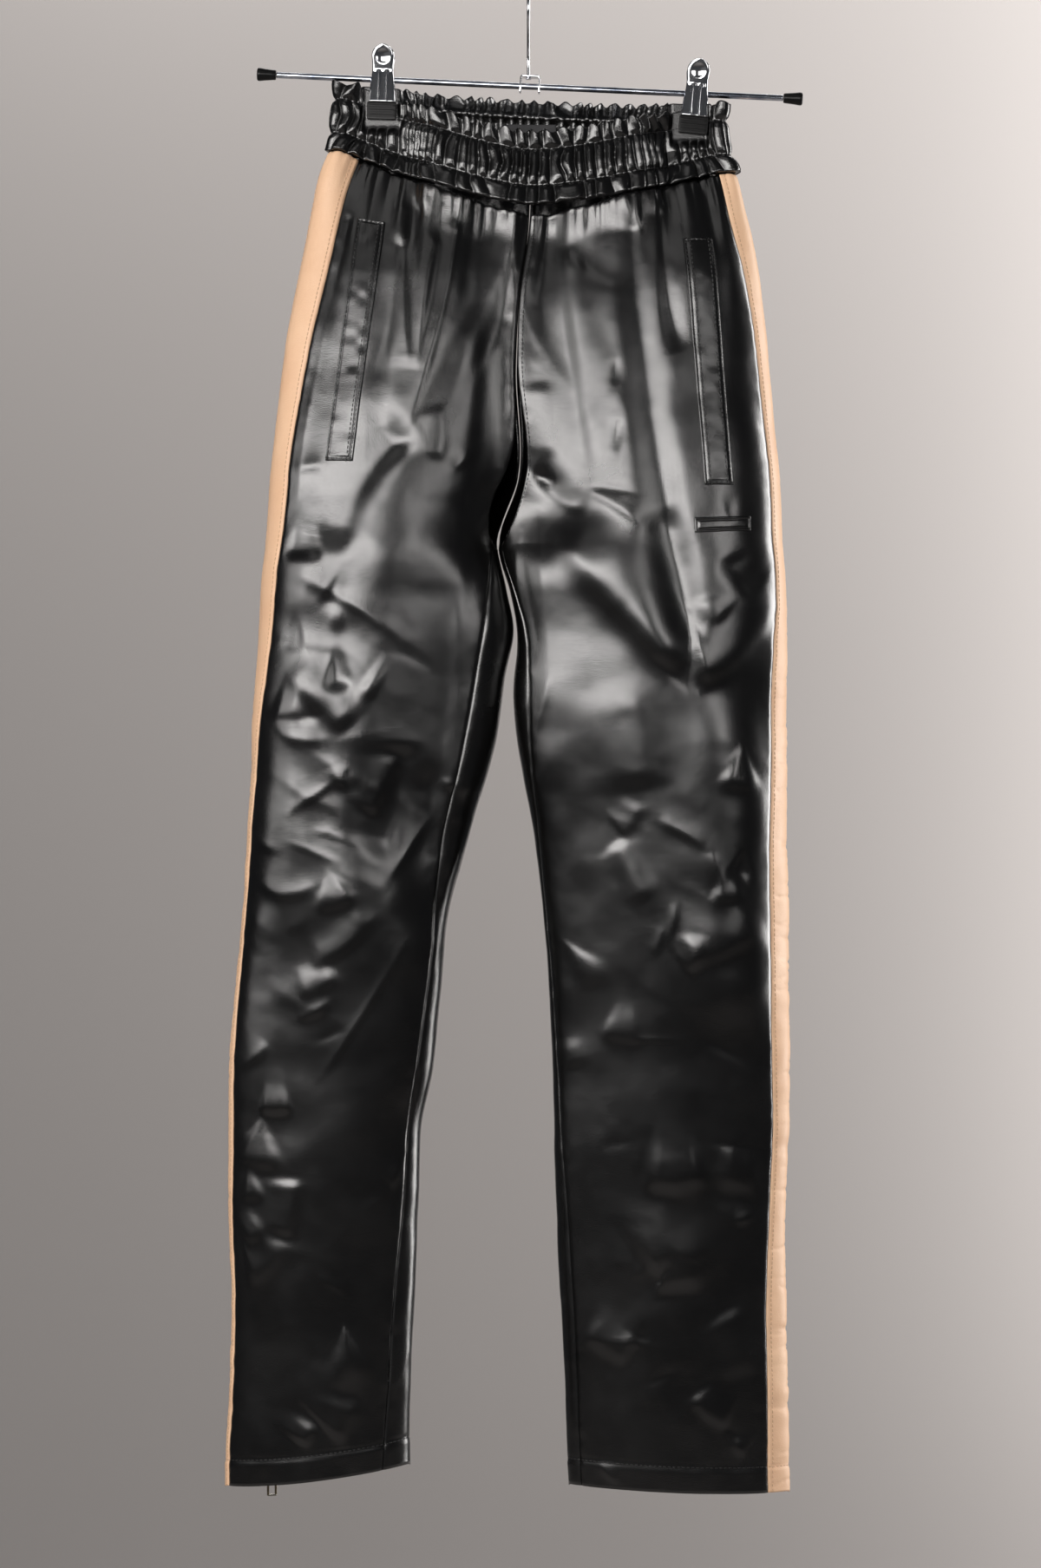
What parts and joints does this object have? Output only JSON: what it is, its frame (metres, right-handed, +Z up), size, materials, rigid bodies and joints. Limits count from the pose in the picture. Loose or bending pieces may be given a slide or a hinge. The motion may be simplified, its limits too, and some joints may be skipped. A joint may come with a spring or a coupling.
{
  "type": "faux leather trousers on a clip hanger",
  "caption": "Glossy faux leather pull-on trousers with a gathered elastic waist, side stripes, slanted pockets and ankle zips, hanging from a clip hanger with a wire hook.",
  "frame": {"origin": "the point inside the top of the hanger's hook that rests on the rail", "axes": "+Z up, +X to the wearer's left, the trousers' front faces -Y"},
  "size_m": [0.4252, 0.0979, 1.1352],
  "materials": {
    "black_cloth": "glossy black polyurethane-coated cloth with a fine grain",
    "stripe_cloth": "satin tan polyurethane-coated cloth",
    "label_cloth": "matte woven label, bare",
    "zip_metal": "darkened brass",
    "hanger_metal": "bright chrome plating",
    "hanger_rubber": "matte black rubber"
  },
  "bodies": {
    "trousers": {"front_panel_right": "black_cloth", "front_panel_left": "black_cloth", "back_panel_right": "black_cloth", "back_panel_left": "black_cloth", "side_stripe_right": "stripe_cloth", "side_stripe_left": "stripe_cloth", "waistband_front": "black_cloth", "waistband_back": "black_cloth", "pocket_welt_right": "black_cloth", "pocket_welt_left": "black_cloth", "thigh_patch": "black_cloth", "inner_label": "label_cloth", "zip_chain_right": "zip_metal", "zip_chain_left": "zip_metal", "zip_slider_right": "zip_metal", "zip_slider_left": "zip_metal", "zip_bail_right": "zip_metal", "zip_bail_left": "zip_metal", "hanger_rod": "hanger_metal", "hanger_hook": "hanger_metal", "hook_bracket": "hanger_metal", "end_cap_right": "hanger_rubber", "end_cap_left": "hanger_rubber", "clip_plate_front_right": "hanger_metal", "clip_plate_back_right": "hanger_metal", "clip_plate_front_left": "hanger_metal", "clip_plate_back_left": "hanger_metal", "clip_spring_right": "hanger_metal", "clip_spring_left": "hanger_metal", "clip_jaw_front_right": "hanger_rubber", "clip_jaw_back_right": "hanger_rubber", "clip_jaw_front_left": "hanger_rubber", "clip_jaw_back_left": "hanger_rubber"},
    "pull_right": {"zip_pull_right": "zip_metal"},
    "pull_left": {"zip_pull_left": "zip_metal"}
  },
  "joints": [
    {"name": "pull_right_swing", "type": "hinge", "parent": "trousers", "child": "pull_right", "pos_m": [-0.19249, 0.0327, -1.1129], "axis": [0.9653, 0.2611, 0], "range_deg": [-5, 150]},
    {"name": "pull_left_swing", "type": "hinge", "parent": "trousers", "child": "pull_left", "pos_m": [0.17597, 0.02595, -1.0935], "axis": [0.9079, -0.4192, 0], "range_deg": [-5, 150]}
  ]
}
